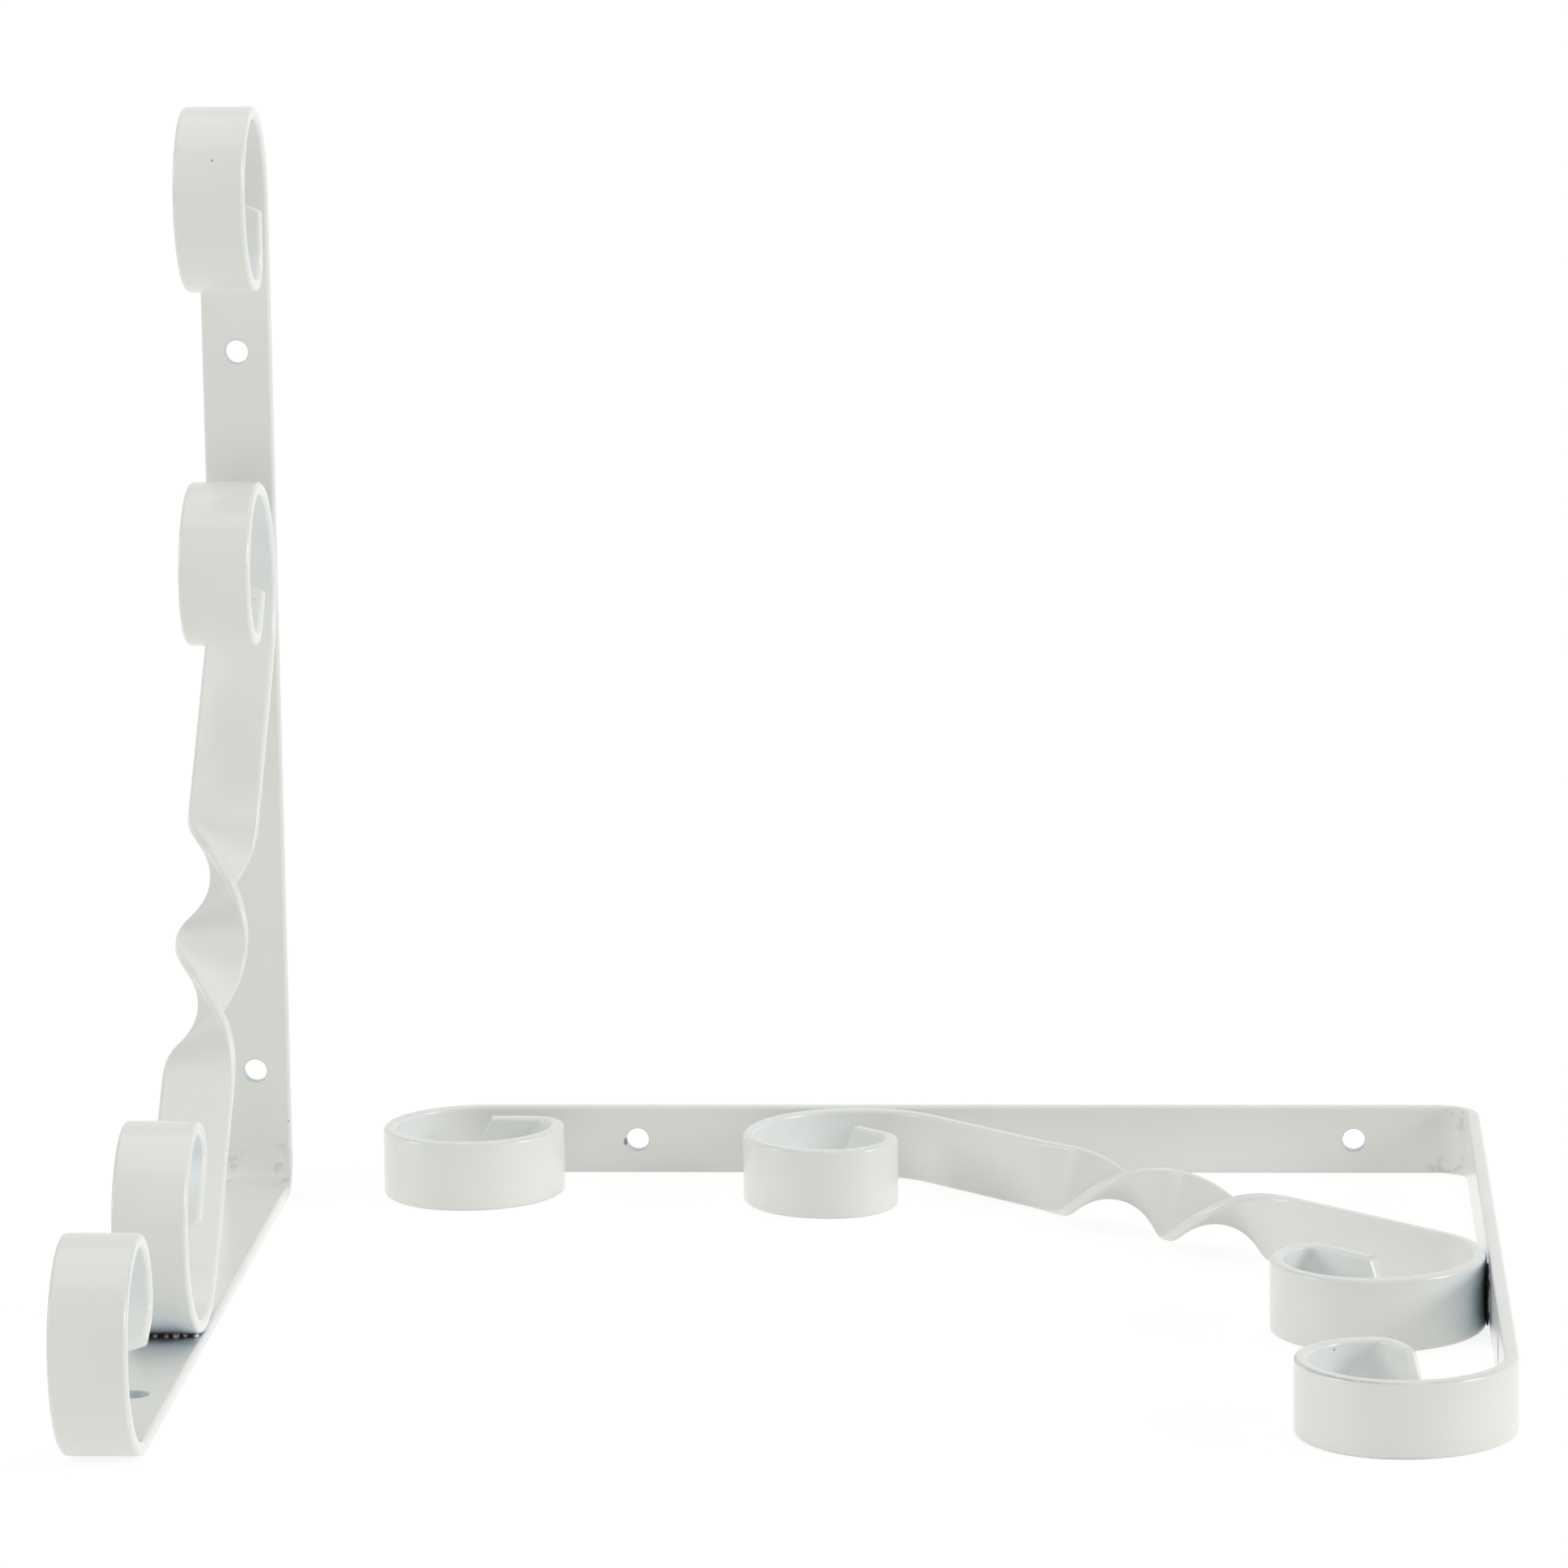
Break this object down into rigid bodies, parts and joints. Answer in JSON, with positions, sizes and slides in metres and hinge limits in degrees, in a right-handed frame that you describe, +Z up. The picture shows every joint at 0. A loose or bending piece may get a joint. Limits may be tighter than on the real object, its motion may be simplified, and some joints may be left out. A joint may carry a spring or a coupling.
{
  "type": "scroll shelf bracket pair",
  "caption": "White flat-bar shelf brackets with scrolled ends and a twisted scroll brace welded across the corner, screwed to a wall to carry a shelf; one stands, one lies.",
  "frame": {"origin": "middle of the pair's outline on the ground plane that both brackets rest on", "axes": "+Z up, +Y towards the back, where both wall legs face, +X from the standing bracket to the lying one"},
  "size_m": [0.2916, 0.2746, 0.254],
  "materials": {
    "powder_coat": "satin",
    "weld_bead": "satin"
  },
  "bodies": {
    "standing_bracket": {"standing_frame_bar": "powder_coat", "standing_brace_bar": "powder_coat", "standing_wall_weld": "weld_bead", "standing_shelf_weld": "weld_bead"},
    "lying_bracket": {"lying_frame_bar": "powder_coat", "lying_brace_bar": "powder_coat", "lying_wall_weld": "weld_bead", "lying_shelf_weld": "weld_bead"}
  },
  "joints": [
    {"name": "lying_lift", "type": "slide", "parent": "standing_bracket", "child": "lying_bracket", "axis": [0, 0, 1], "range_m": [0, 0.3]}
  ]
}
